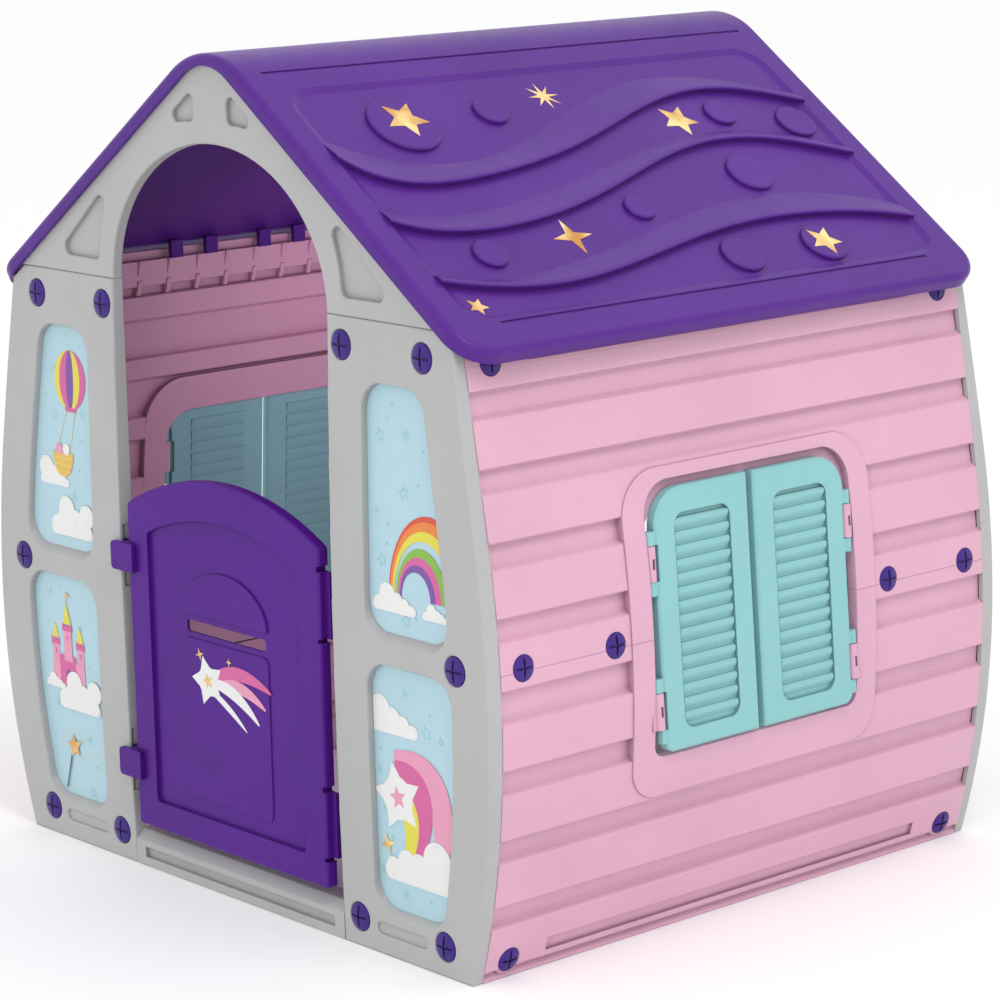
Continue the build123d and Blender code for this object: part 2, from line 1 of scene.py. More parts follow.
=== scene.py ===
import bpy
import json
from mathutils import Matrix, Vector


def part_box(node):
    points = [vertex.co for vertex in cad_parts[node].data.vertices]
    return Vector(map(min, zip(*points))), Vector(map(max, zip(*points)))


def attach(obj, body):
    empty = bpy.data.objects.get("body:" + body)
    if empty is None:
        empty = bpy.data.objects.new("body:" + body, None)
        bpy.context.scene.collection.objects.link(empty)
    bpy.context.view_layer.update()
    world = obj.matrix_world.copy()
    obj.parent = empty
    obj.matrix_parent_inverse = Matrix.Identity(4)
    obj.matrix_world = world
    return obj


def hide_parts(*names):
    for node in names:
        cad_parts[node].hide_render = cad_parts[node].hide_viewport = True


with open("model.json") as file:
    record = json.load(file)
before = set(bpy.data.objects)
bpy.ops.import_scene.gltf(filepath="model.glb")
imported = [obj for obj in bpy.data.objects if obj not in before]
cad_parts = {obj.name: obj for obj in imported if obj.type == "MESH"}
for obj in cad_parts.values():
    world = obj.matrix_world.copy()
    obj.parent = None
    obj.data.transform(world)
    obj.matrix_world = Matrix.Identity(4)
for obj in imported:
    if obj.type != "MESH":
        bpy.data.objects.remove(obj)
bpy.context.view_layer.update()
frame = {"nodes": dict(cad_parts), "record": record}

import json
import math

import bpy
from bpy.props import FloatProperty, FloatVectorProperty, PointerProperty
from mathutils import Vector

bl_info = {
    "name": "Moulded playhouse",
    "version": (1, 0, 0),
    "blender": (4, 5, 0),
    "location": "3D View > Sidebar > Playhouse",
    "description": "Finishes and printed pictures of a moulded garden playhouse",
    "category": "Object",
}

SEAM = 0.789              # top of the posts
FACE = -0.442             # gable face
BOW = 0.0065              # how far the posts bow forward
FILM_DEEP = 0.01045       # printed film behind the bowed face
STEP = 0.00003            # each printed layer lies this far in front of the last
RIB_PITCH = 0.05          # spacing of the ribs inside the walls
RIB_ROWS = ((0.7605, 0.4440), (0.7315, 0.4497))   # height of a row, distance from the middle
SHUTTER_LEAN = 3.9        # degrees that the shutters lean inwards
SHUTTER_FOOT = (0.518, 0.244)                     # lower edge of a shutter's outer face: X, Z
SHUTTER_Y = 0.086         # middle of each shutter
SHUTTER_MIDDLE = 0.1585   # middle of the louvred panel above the lower edge
BACK_DEEP = 0.0148        # louvres on the back, behind the outer face
LOUVRES = 15
LOUVRE_PITCH = 0.0172
LOUVRE_SIZE = (0.0036, 0.094, 0.0145)
RIB_SIZE = (0.012, 0.007, 0.021)
DOOR_SKIN = -0.4467       # front of the door's raised panel
PRINT_CLEAR = 0.00012     # first printed layer in front of its film


def colour(label, default):
    return FloatVectorProperty(name=label, description=f"{label} colour", subtype="COLOR",
                               size=3, min=0.0, max=1.0, default=default)


class PlayhousePlastics(bpy.types.PropertyGroup):
    """Colours of the moulded parts."""
    grey: colour("Post grey", (0.435, 0.435, 0.435))
    pink: colour("Board pink", (0.68, 0.385, 0.51))
    roof: colour("Roof violet", (0.085, 0.016, 0.235))
    door: colour("Door violet", (0.080, 0.009, 0.235))
    screw: colour("Screw violet", (0.05, 0.02, 0.20))
    shutter: colour("Shutter turquoise", (0.25, 0.53, 0.54))
    grain: FloatProperty(name="Mould grain", description="Height of the fine mould texture",
                         subtype="DISTANCE", unit="LENGTH", default=0.00006)
    wood: FloatProperty(name="Wood grain", description="Height of the moulded wood grain",
                        subtype="DISTANCE", unit="LENGTH", default=0.00035)
    edge: FloatProperty(name="Soft edge", description="Radius of the softened edges",
                        subtype="DISTANCE", unit="LENGTH", default=0.0016)


class PlayhousePrints(bpy.types.PropertyGroup):
    """Inks of the printed films."""
    sky: colour("Sky", (0.42, 0.62, 0.70))
    line: colour("Line stars", (0.27, 0.58, 0.60))
    cloud: colour("Cloud", (0.78, 0.78, 0.77))
    shade: colour("Cloud shade", (0.60, 0.70, 0.72))
    gold: colour("Gold", (0.72, 0.45, 0.12))
    yellow: colour("Yellow", (0.72, 0.64, 0.06))
    rose: colour("Rose", (0.62, 0.11, 0.31))
    blush: colour("Blush", (0.74, 0.31, 0.46))
    lilac: colour("Lilac", (0.19, 0.07, 0.34))
    red: colour("Red", (0.66, 0.075, 0.045))
    orange: colour("Orange", (0.76, 0.22, 0.04))
    green: colour("Green", (0.22, 0.46, 0.055))
    navy: colour("Navy", (0.05, 0.06, 0.22))


def plastics():
    return bpy.context.scene.playhouse_plastics


def prints():
    return bpy.context.scene.playhouse_prints


# ---------------------------------------------------------------- finishes

def node(tree, kind, place, **values):
    made = tree.nodes.new(kind)
    made.location = place
    for key, value in values.items():
        if key in made.inputs:
            made.inputs[key].default_value = value
        else:
            setattr(made, key, value)
    return made


def shades(tint, spread):
    """A darker and a lighter tone of one colour."""
    return ([max(c * (1 - spread), 0) for c in tint] + [1],
            [min(c * (1 + spread), 1) for c in tint] + [1])


def moulded_plastic(name, tint, roughness, wood=0.0, spread=0.05, gloss=0.3, crease_shade_strength=0.3):
    """Satin moulded plastic: mottled tone, mould grain, softened edges, and painted shade that darkens
    the colour in creases.
    """
    plastic = bpy.data.materials.new(name)
    plastic.use_nodes = True
    tree = plastic.node_tree
    shader = tree.nodes["Principled BSDF"]
    shader.inputs["Specular IOR Level"].default_value = gloss
    place = node(tree, "ShaderNodeTexCoord", (-1300, 0)).outputs["Object"]
    mottle = node(tree, "ShaderNodeTexNoise", (-1050, 260), Scale=7.0, Detail=5.0)
    tree.links.new(place, mottle.inputs["Vector"])
    ramp = node(tree, "ShaderNodeValToRGB", (-800, 260))
    dark, light = shades(tint, spread)
    ramp.color_ramp.elements[0].color = dark
    ramp.color_ramp.elements[1].color = light
    ramp.color_ramp.elements[0].position = 0.3
    ramp.color_ramp.elements[1].position = 0.7
    tree.links.new(mottle.outputs["Fac"], ramp.inputs["Fac"])
    # painted shade: ambient occlusion darkens the base colour in creases, grooves and corners
    occlusion = node(tree, "ShaderNodeAmbientOcclusion", (-1050, 560), samples=6, only_local=True,
                   Distance=0.022)
    painted_crease_shade = node(tree, "ShaderNodeMapRange", (-800, 560))
    painted_crease_shade.inputs["From Min"].default_value = 0.3
    painted_crease_shade.inputs["From Max"].default_value = 0.9
    painted_crease_shade.inputs["To Min"].default_value = 1 - crease_shade_strength
    painted_crease_shade.inputs["To Max"].default_value = 1.0
    crease_shaded_colour = node(tree, "ShaderNodeHueSaturation", (-450, 300), Saturation=1.0)
    tree.links.new(occlusion.outputs["AO"], painted_crease_shade.inputs["Value"])
    tree.links.new(painted_crease_shade.outputs["Result"], crease_shaded_colour.inputs["Value"])
    tree.links.new(ramp.outputs["Color"], crease_shaded_colour.inputs["Color"])
    tree.links.new(crease_shaded_colour.outputs["Color"], shader.inputs["Base Color"])
    haze = node(tree, "ShaderNodeTexNoise", (-1050, 0), Scale=45.0, Detail=3.0)
    tree.links.new(place, haze.inputs["Vector"])
    matt = node(tree, "ShaderNodeMapRange", (-800, 0))
    matt.inputs["To Min"].default_value = roughness - 0.05
    matt.inputs["To Max"].default_value = roughness + 0.07
    tree.links.new(haze.outputs["Fac"], matt.inputs["Value"])
    tree.links.new(matt.outputs["Result"], shader.inputs["Roughness"])
    soft = node(tree, "ShaderNodeBevel", (-800, -300), samples=4, Radius=plastics().edge)
    grain = node(tree, "ShaderNodeTexNoise", (-1050, -300), Scale=900.0, Detail=2.0)
    tree.links.new(place, grain.inputs["Vector"])
    bump = node(tree, "ShaderNodeBump", (-550, -300), Strength=0.6, Distance=plastics().grain)
    tree.links.new(grain.outputs["Fac"], bump.inputs["Height"])
    tree.links.new(soft.outputs["Normal"], bump.inputs["Normal"])
    last = bump
    if wood:
        last = add_wood_grain(tree, place, bump, wood)
    tree.links.new(last.outputs["Normal"], shader.inputs["Normal"])
    return plastic


def add_wood_grain(tree, place, under, height):
    """Moulded wood grain: long wavy fibres that run along the boards."""
    stretch = node(tree, "ShaderNodeMapping", (-1050, -560), Scale=(60.0, 5.5, 190.0))
    fibres = node(tree, "ShaderNodeTexNoise", (-800, -560), Scale=1.0, Detail=5.0, Roughness=0.6,
                  Distortion=0.6)
    cut = node(tree, "ShaderNodeMapRange", (-620, -560))
    cut.inputs["From Min"].default_value = 0.38
    cut.inputs["From Max"].default_value = 0.62
    bump = node(tree, "ShaderNodeBump", (-350, -400), Strength=0.5, Distance=height)
    tree.links.new(place, stretch.inputs["Vector"])
    tree.links.new(stretch.outputs["Vector"], fibres.inputs["Vector"])
    tree.links.new(fibres.outputs["Fac"], cut.inputs["Value"])
    tree.links.new(cut.outputs["Result"], bump.inputs["Height"])
    tree.links.new(under.outputs["Normal"], bump.inputs["Normal"])
    return bump


def printed_ink(name, tint, roughness=0.38, spread=0.03):
    """Ink on glossy film: faint print mottle and a film's slight ripple."""
    ink = bpy.data.materials.get(name)
    if ink:
        return ink
    ink = bpy.data.materials.new(name)
    ink.use_nodes = True
    tree = ink.node_tree
    shader = tree.nodes["Principled BSDF"]
    shader.inputs["Roughness"].default_value = roughness
    place = node(tree, "ShaderNodeTexCoord", (-900, 0)).outputs["Object"]
    mottle = node(tree, "ShaderNodeTexNoise", (-700, 200), Scale=60.0, Detail=4.0)
    ramp = node(tree, "ShaderNodeValToRGB", (-450, 200))
    dark, light = shades(tint, spread)
    ramp.color_ramp.elements[0].color = dark
    ramp.color_ramp.elements[1].color = light
    tree.links.new(place, mottle.inputs["Vector"])
    tree.links.new(mottle.outputs["Fac"], ramp.inputs["Fac"])
    tree.links.new(ramp.outputs["Color"], shader.inputs["Base Color"])
    ripple = node(tree, "ShaderNodeTexNoise", (-700, -200), Scale=25.0, Detail=1.0)
    bump = node(tree, "ShaderNodeBump", (-450, -200), Strength=0.3, Distance=0.0004)
    tree.links.new(place, ripple.inputs["Vector"])
    tree.links.new(ripple.outputs["Fac"], bump.inputs["Height"])
    tree.links.new(bump.outputs["Normal"], shader.inputs["Normal"])
    return ink


def gold_foil():
    """Printed gold: tone runs from pale to deep across each star."""
    if "gold_foil" in bpy.data.materials:
        return bpy.data.materials["gold_foil"]
    foil = printed_ink("gold_foil", prints().gold, roughness=0.3, spread=0.12)
    tree = foil.node_tree
    mottle = next(n for n in tree.nodes if n.type == "TEX_NOISE" and n.inputs["Scale"].default_value > 50)
    mottle.inputs["Scale"].default_value = 22.0
    ramp = next(n for n in tree.nodes if n.type == "VALTORGB")
    ramp.color_ramp.elements[0].color = (0.55, 0.24, 0.035, 1)
    ramp.color_ramp.elements[1].color = (0.95, 0.72, 0.30, 1)
    ramp.color_ramp.elements[0].position = 0.36
    ramp.color_ramp.elements[1].position = 0.62
    return foil


def wear(name, plastic):
    """Gives one CAD node its finish."""
    part = frame["nodes"][name]
    if not part.material_slots:
        part.data.materials.append(plastic)
    for holder in part.material_slots:
        holder.material = plastic


# ---------------------------------------------------------------- printed pictures

def bow_y(z):
    """Front face of the bowed posts at height z."""
    radius = ((SEAM / 2) ** 2 + BOW ** 2) / (2 * BOW)
    return FACE + radius - BOW - math.sqrt(radius ** 2 - (z - SEAM / 2) ** 2)


def film_y(z):
    return bow_y(z) + FILM_DEEP


def door_y(z):
    return DOOR_SKIN


def ring(x, z, radius, points=36, tall=1.0, start=0.0, end=math.tau):
    """Points round a circle or an oval, or along a part of one."""
    closed = end - start >= math.tau - 0.001
    count = points if closed else points + 1
    turns = [start + (end - start) * k / points for k in range(count)]
    return [(x + radius * math.cos(t), z + radius * tall * math.sin(t)) for t in turns]


def star_points(x, z, size, points=5, waist=0.45, turn=0.0):
    corners = []
    for k in range(2 * points):
        reach = size if k % 2 == 0 else size * waist
        angle = math.pi / 2 + turn + math.pi * k / points
        corners.append((x + reach * math.cos(angle), z + reach * math.sin(angle)))
    return corners


def swoosh(start, bend, end, width, tip=0.2, steps=22):
    """A tapering ribbon along a bent line."""
    left, right = [], []
    for k in range(steps + 1):
        t = k / steps
        x = (1 - t) ** 2 * start[0] + 2 * t * (1 - t) * bend[0] + t * t * end[0]
        z = (1 - t) ** 2 * start[1] + 2 * t * (1 - t) * bend[1] + t * t * end[1]
        dx = 2 * (1 - t) * (bend[0] - start[0]) + 2 * t * (end[0] - bend[0])
        dz = 2 * (1 - t) * (bend[1] - start[1]) + 2 * t * (end[1] - bend[1])
        size = math.hypot(dx, dz) or 1
        half = width / 2 * (tip + (1 - tip) * math.sin(math.pi * min(t * 0.9 + 0.1, 1)) ** 0.8)
        left.append((x - dz / size * half, z + dx / size * half))
        right.append((x + dz / size * half, z - dx / size * half))
    return left + right[::-1]


class Picture:
    """Collects flat shapes in millimetres and prints them as one piece."""

    def __init__(self, name, surface, window=None):
        self.name, self.surface, self.window = name, surface, window
        self.sheets = []

    def lay(self, loops, ink):
        """One flat shape; further loops inside the first one are holes."""
        if loops and not isinstance(loops[0], list):
            loops = [loops]
        bpy.ops.object.select_all(action="DESELECT")
        outline = bpy.data.curves.new(f"{self.name}_shape", "CURVE")
        outline.dimensions = "2D"
        outline.fill_mode = "BOTH"
        for loop in loops:
            line = outline.splines.new("POLY")
            line.points.add(len(loop) - 1)
            line.use_cyclic_u = True
            for point, (x, z) in zip(line.points, loop):
                point.co = (x / 1000, z / 1000, 0, 1)
        sheet = bpy.data.objects.new(f"{self.name}_shape", outline)
        bpy.context.collection.objects.link(sheet)
        bpy.context.view_layer.objects.active = sheet
        sheet.select_set(True)
        bpy.ops.object.convert(target="MESH")
        sheet = bpy.context.object
        if self.window:
            self.trim(sheet)
        front = PRINT_CLEAR + STEP * len(self.sheets)
        for vertex in sheet.data.vertices:
            x, z = vertex.co.x, vertex.co.y
            vertex.co = (x, self.surface(z) - front, z)
        sheet.data.materials.append(ink)
        self.sheets.append(sheet)

    def trim(self, sheet):
        """Cuts a shape off at the straight sides of its window."""
        low, high = self.window
        cuts = (((low[0], 0, 0), (-1, 0, 0)), ((high[0], 0, 0), (1, 0, 0)),
                ((0, low[1], 0), (0, -1, 0)), ((0, high[1], 0), (0, 1, 0)))
        bpy.ops.object.mode_set(mode="EDIT")
        for place, outward in cuts:
            bpy.ops.mesh.select_all(action="SELECT")
            bpy.ops.mesh.bisect(plane_co=place, plane_no=outward, clear_outer=True)
        bpy.ops.object.mode_set(mode="OBJECT")

    def cloud(self, left, right, z, puffs):
        """A flat-bottomed cloud: a rounded bar with round puffs on it."""
        ink = printed_ink("cloud_ink", prints().cloud)
        width = right - left
        end = 0.085 * width
        bar = ring(left + end, z + end, end, 14, 1, math.pi / 2, 1.5 * math.pi)
        bar += ring(right - end, z + end, end, 14, 1, -math.pi / 2, math.pi / 2)
        self.lay(bar, ink)
        for across, up, radius in puffs:
            self.lay(ring(left + across * width, z + up * width, radius * width, 30), ink)
            if radius > 0.13:
                rim = ring(left + across * width, z + up * width, radius * width * 0.82, 20, 1,
                           math.pi * 0.35, math.pi * 0.8)
                back = ring(left + across * width, z + up * width, radius * width * 0.79, 20, 1,
                            math.pi * 0.35, math.pi * 0.8)
                self.lay(rim + back[::-1], printed_ink("shade_ink", prints().shade))

    def line_star(self, x, z, size):
        outer = star_points(x, z, size, turn=0.25)
        inner = star_points(x, z, size * 0.72, turn=0.25)
        self.lay([outer, inner], printed_ink("line_ink", prints().line))

    def burst(self, x, z, size):
        self.lay(star_points(x, z, size, 8, 0.13), printed_ink("line_ink", prints().line))

    def dot(self, x, z, size):
        self.lay(ring(x, z, size, 10), printed_ink("line_ink", prints().line))

    def finish(self, body):
        """Joins the printed shapes into one piece that rides on a body."""
        bpy.ops.object.select_all(action="DESELECT")
        for sheet in self.sheets:
            sheet.select_set(True)
        bpy.context.view_layer.objects.active = self.sheets[0]
        bpy.ops.object.join()
        piece = bpy.context.object
        piece.name = self.name
        piece.data.name = self.name
        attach(piece, body)
        return piece


def window_of(name):
    """Sides of a film in metres, slightly inset."""
    low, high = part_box(name)
    return ((low[0] + 0.0004, low[2] + 0.0004), (high[0] - 0.0004, high[2] - 0.0004))


# each puff: place along the cloud, height and radius, in cloud widths
LEFT_HEAVY = [(0.14, 0.12, 0.11), (0.34, 0.26, 0.18), (0.56, 0.18, 0.14), (0.74, 0.14, 0.11),
              (0.88, 0.09, 0.08)]
RIGHT_HEAVY = [(0.13, 0.12, 0.11), (0.32, 0.2, 0.13), (0.5, 0.19, 0.14), (0.76, 0.3, 0.2),
               (0.92, 0.12, 0.1)]
TALL = [(0.13, 0.16, 0.12), (0.38, 0.38, 0.19), (0.6, 0.24, 0.16), (0.86, 0.33, 0.17), (0.26, 0.2, 0.14),
        (0.45, 0.15, 0.13), (0.72, 0.15, 0.13), (0.88, 0.12, 0.1)]


class PLAYHOUSE_OT_balloon(bpy.types.Operator):
    """Left upper film: striped balloon, basket and clouds"""
    bl_idname = "playhouse.balloon"
    bl_label = "Balloon picture"

    def execute(self, context):
        inks = prints()
        picture = Picture("balloon_print", film_y, window_of("front_left_upper_picture"))
        picture.burst(-377, 655, 10)
        picture.line_star(-377, 590, 9)
        picture.line_star(-313, 598, 8)
        picture.line_star(-330, 672, 7)
        picture.burst(-337, 485, 12)
        for x, z in ((-350, 700), (-316, 560), (-325, 520), (-395, 615), (-372, 470)):
            picture.dot(x, z, 2)
        x, z, reach, tall = -339, 641, 36, 1.12
        colours = [("yellow_ink", inks.yellow), ("rose_ink", inks.rose), ("lilac_ink", inks.lilac),
                   ("yellow_ink", inks.yellow), ("rose_ink", inks.rose)]
        edges = [-1, -0.68, -0.26, 0.22, 0.62, 1]
        for k, (name, tint) in enumerate(colours):
            left = [(x + reach * edges[k] * math.cos(t), z + reach * tall * math.sin(t))
                    for t in [math.pi / 2 - math.pi * s / 24 for s in range(25)]]
            right = [(x + reach * edges[k + 1] * math.cos(t), z + reach * tall * math.sin(t))
                     for t in [-math.pi / 2 + math.pi * s / 24 for s in range(25)]]
            picture.lay(left + right[1:-1], printed_ink(name, tint))
        picture.lay([(x - 14, z - 37), (x + 15, z - 37), (x + 12, z - 43), (x - 11, z - 43)],
                    printed_ink("rose_ink", inks.rose))
        for dx in (-9, 10):
            picture.lay([(x + dx, z - 42), (x + dx + 0.9, z - 42), (-360 + dx * 1.6 + 0.9, 541),
                         (-360 + dx * 1.6, 541)], printed_ink("gold_ink", inks.gold))
        picture.cloud(-415, -348, 494, [(0.22, 0.33, 0.24), (0.5, 0.24, 0.17), (0.76, 0.14, 0.13)])
        bowl = [(-384, 541), (-336, 541)] + ring(-360, 541, 24, 20, 1.4, -math.pi, 0)[::-1][1:-1]
        picture.lay(bowl, printed_ink("gold_ink", inks.gold))
        for k in range(3):
            picture.lay([(-383 + 2 * k, 534 - 9 * k), (-337 - 2 * k, 534 - 9 * k),
                         (-338 - 2 * k, 532.5 - 9 * k), (-382 + 2 * k, 532.5 - 9 * k)],
                        printed_ink("yellow_ink", inks.yellow))
        picture.lay(ring(-368, 545, 8, 16), printed_ink("blush_ink", inks.blush))
        picture.lay(ring(-352, 546, 8, 16), printed_ink("cloud_ink", inks.cloud))
        picture.cloud(-392, -296, 427, TALL)
        picture.finish("house")
        return {"FINISHED"}


class PLAYHOUSE_OT_castle(bpy.types.Operator):
    """Left lower film: castle on a cloud and a wand"""
    bl_idname = "playhouse.castle"
    bl_label = "Castle picture"

    def tower(self, picture, x, low, high, half, roof):
        inks = prints()
        wall, trim = printed_ink("blush_ink", inks.blush), printed_ink("rose_ink", inks.rose)
        picture.lay([(x - half, low), (x + half, low), (x + half, high), (x - half, high)], wall)
        top = high
        for k in range(3):
            left = x - half - 2 + k * (2 * half + 4) * 0.37
            picture.lay([(left, top), (left + half * 0.55, top), (left + half * 0.55, top + 5),
                         (left, top + 5)], trim)
        picture.lay([(x - half - 2, top - 6), (x + half + 2, top - 6), (x + half + 2, top + 1),
                     (x - half - 2, top + 1)], trim)
        picture.lay([(x - half, top + 4), (x + half, top + 4), (x, top + roof)],
                    printed_ink("yellow_ink", inks.yellow))
        picture.lay([(x - 1.6, top - 18), (x + 1.6, top - 18), (x + 1.6, top - 11), (x - 1.6, top - 11)],
                    trim)

    def execute(self, context):
        inks = prints()
        picture = Picture("castle_print", film_y, window_of("front_left_lower_picture"))
        picture.burst(-405, 343, 9)
        picture.burst(-400, 189, 12)
        picture.burst(-330, 146, 12)
        picture.burst(-338, 300, 7)
        picture.line_star(-330, 72, 9)
        for x, z in ((-385, 352), (-414, 300), (-412, 140), (-322, 250), (-318, 110), (-408, 268)):
            picture.dot(x, z, 2)
        self.tower(picture, -398, 214, 276, 8, 26)
        self.tower(picture, -340, 220, 276, 8, 28)
        picture.lay([(-406, 214), (-332, 222), (-332, 250), (-406, 250)],
                    printed_ink("blush_ink", inks.blush))
        picture.lay([(-390, 214), (-352, 216), (-352, 258), (-390, 258)],
                    printed_ink("rose_ink", inks.rose))
        self.tower(picture, -369, 250, 298, 9.5, 36)
        picture.lay([(-376, 216), (-364, 217)] + ring(-370, 232, 6, 12, 1.2, 0, math.pi),
                    printed_ink("lilac_ink", inks.lilac))
        picture.lay([(-369.6, 330), (-368.4, 330), (-368.4, 347), (-369.6, 347)],
                    printed_ink("gold_ink", inks.gold))
        picture.lay([(-369, 347), (-369, 339), (-359, 342)], printed_ink("gold_ink", inks.gold))
        picture.cloud(-424, -378, 209, LEFT_HEAVY)
        picture.cloud(-394, -298, 183, TALL)
        picture.lay([(-391, 68), (-388.6, 67.4), (-370, 124), (-372.6, 124.6)],
                    printed_ink("navy_ink", inks.navy))
        picture.lay(star_points(-366, 131, 18, turn=0.15), gold_foil())
        for turn in (0.5, 1.0, 2.1, 2.7, -0.6):
            dx, dz = math.cos(turn), math.sin(turn)
            near = (-366 + 21 * dx, 131 + 21 * dz)
            far = (-366 + 28 * dx, 131 + 28 * dz)
            picture.lay([(near[0] - 0.6 * dz, near[1] + 0.6 * dx), far,
                         (near[0] + 0.6 * dz, near[1] - 0.6 * dx)], printed_ink("gold_ink", inks.gold))
        picture.finish("house")
        return {"FINISHED"}


class PLAYHOUSE_OT_rainbow(bpy.types.Operator):
    """Right upper film: rainbow between two clouds"""
    bl_idname = "playhouse.rainbow"
    bl_label = "Rainbow picture"

    def edge(self, inward):
        """One edge of a stripe; inward is 0 on the outside and 1 on the inside."""
        radius, left = 76 - 49.4 * inward, 321 + 23.5 * inward
        return [(x, z) for x, z in ring(left + radius, 460, radius, 40, (104 - 71 * inward) / radius,
                                        0.0, math.pi)]

    def execute(self, context):
        inks = prints()
        picture = Picture("rainbow_print", film_y, window_of("front_right_upper_picture"))
        picture.line_star(308, 651, 10)
        picture.burst(356, 658, 13)
        picture.line_star(351, 586, 10)
        picture.line_star(309, 499, 10)
        picture.line_star(352, 430, 10)
        picture.line_star(300, 559, 5)
        for x, z in ((321, 675), (377, 599), (321, 545), (318, 520), (331, 690), (388, 640), (370, 436)):
            picture.dot(x, z, 2)
        stripes = [("red_ink", inks.red, 0.0, 0.1), ("orange_ink", inks.orange, 0.1, 0.27),
                   ("yellow_ink", inks.yellow, 0.27, 0.45), ("green_ink", inks.green, 0.58, 0.73),
                   ("rose_ink", inks.rose, 0.73, 0.87), ("lilac_ink", inks.lilac, 0.87, 1.0)]
        for name, tint, start, end in stripes:
            picture.lay(self.edge(start) + self.edge(end)[::-1], printed_ink(name, tint))
        picture.cloud(290, 371, 437, LEFT_HEAVY)
        picture.cloud(383, 431, 438, LEFT_HEAVY)
        picture.finish("house")
        return {"FINISHED"}


class PLAYHOUSE_OT_comet(bpy.types.Operator):
    """Right lower film: a comet with ribbons over a cloud"""
    bl_idname = "playhouse.comet"
    bl_label = "Comet picture"

    def execute(self, context):
        inks = prints()
        picture = Picture("comet_print", film_y, window_of("front_right_lower_picture"))
        picture.burst(345, 339, 14)
        picture.line_star(383, 297, 11)
        picture.burst(334, 83, 14)
        picture.burst(292, 107, 9)
        picture.burst(293, 235, 9)
        picture.line_star(410, 292, 7)
        for x, z in ((390, 320), (296, 262), (312, 152), (418, 230), (412, 150), (300, 188), (380, 84)):
            picture.dot(x, z, 2.2)
        picture.cloud(262, 368, 284, LEFT_HEAVY)
        rose, blush = printed_ink("rose_ink", inks.rose), printed_ink("blush_ink", inks.blush)
        white = printed_ink("cloud_ink", inks.cloud)
        picture.lay(swoosh((322, 250), (432, 262), (402, 128), 46, 0.35), blush)
        picture.lay(swoosh((322, 238), (400, 236), (350, 122), 44, 0.4), rose)
        picture.lay(swoosh((312, 215), (368, 205), (342, 128), 30, 0.4),
                    printed_ink("yellow_ink", inks.yellow))
        picture.lay(star_points(326, 205, 46, waist=0.52, turn=0.2), white)
        picture.lay(ring(326, 205, 28, 30), white)
        picture.lay(star_points(326, 205, 16, turn=0.2), blush)
        picture.lay(star_points(304, 142, 15, 4, 0.3, turn=0.3), gold_foil())
        picture.cloud(297, 428, 98, RIGHT_HEAVY)
        picture.finish("house")
        return {"FINISHED"}


class PLAYHOUSE_OT_door_comet(bpy.types.Operator):
    """Die-cut comet on the door"""
    bl_idname = "playhouse.door_comet"
    bl_label = "Door comet"

    def execute(self, context):
        inks = prints()
        rose, blush = printed_ink("rose_ink", inks.rose), printed_ink("blush_ink", inks.blush)
        white = printed_ink("cloud_ink", inks.cloud)
        picture = Picture("door_comet_print", door_y)
        picture.lay(swoosh((-30, 290), (20, 320), (92, 292), 18, 0.15), rose)
        picture.lay(swoosh((-20, 282), (28, 300), (80, 268), 16, 0.15), blush)
        picture.lay(swoosh((-36, 284), (14, 290), (66, 246), 17, 0.12), white)
        picture.lay(swoosh((-40, 276), (0, 262), (40, 232), 9, 0.12), white)
        picture.lay(star_points(-40, 285, 34, waist=0.55, turn=0.3), white)
        picture.lay(ring(-40, 285, 20, 24), white)
        picture.lay(star_points(-40, 285, 11, turn=0.3), gold_foil())
        picture.lay(star_points(-56, 318, 9, 4, 0.3, turn=0.3), gold_foil())
        picture.lay(star_points(6, 318, 6, 4, 0.3), gold_foil())
        piece = picture.finish("door")
        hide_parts("door_picture")
        return {"FINISHED"}


# ---------------------------------------------------------------- plastics of the house

class PLAYHOUSE_OT_plastics(bpy.types.Operator):
    """Gives every moulded part its plastic"""
    bl_idname = "playhouse.plastics"
    bl_label = "Moulded plastics"

    def execute(self, context):
        tones = plastics()
        # each crease value sets how dark the painted shade in that plastic's creases is
        grey = moulded_plastic("grey_plastic", tones.grey, 0.42, spread=0.03)
        pink = moulded_plastic("pink_plastic", tones.pink, 0.40, wood=tones.wood, spread=0.035,
                               crease_shade_strength=0.5)
        roof = moulded_plastic("roof_plastic", tones.roof, 0.34, spread=0.08, gloss=0.22, crease_shade_strength=0.45)
        door = moulded_plastic("door_plastic", tones.door, 0.33, spread=0.08, gloss=0.16, crease_shade_strength=0.45)
        screw = moulded_plastic("screw_plastic", tones.screw, 0.3, spread=0.1, gloss=0.2, crease_shade_strength=0.7)
        teal = moulded_plastic("shutter_plastic", tones.shutter, 0.38, spread=0.04, crease_shade_strength=0.5)
        film = printed_ink("sky_film", prints().sky, roughness=0.35)
        finishes = {"grey_plastic": grey, "pink_plastic": pink, "roof_plastic": roof,
                    "door_plastic": door, "screw_plastic": screw, "shutter_plastic": teal,
                    "printed_film": film, "gold_film": gold_foil()}
        for part in frame["record"]["subparts"]:
            wear(part["node"], finishes[part["material_slot"]])
        return {"FINISHED"}


# ---------------------------------------------------------------- pieces inside the house

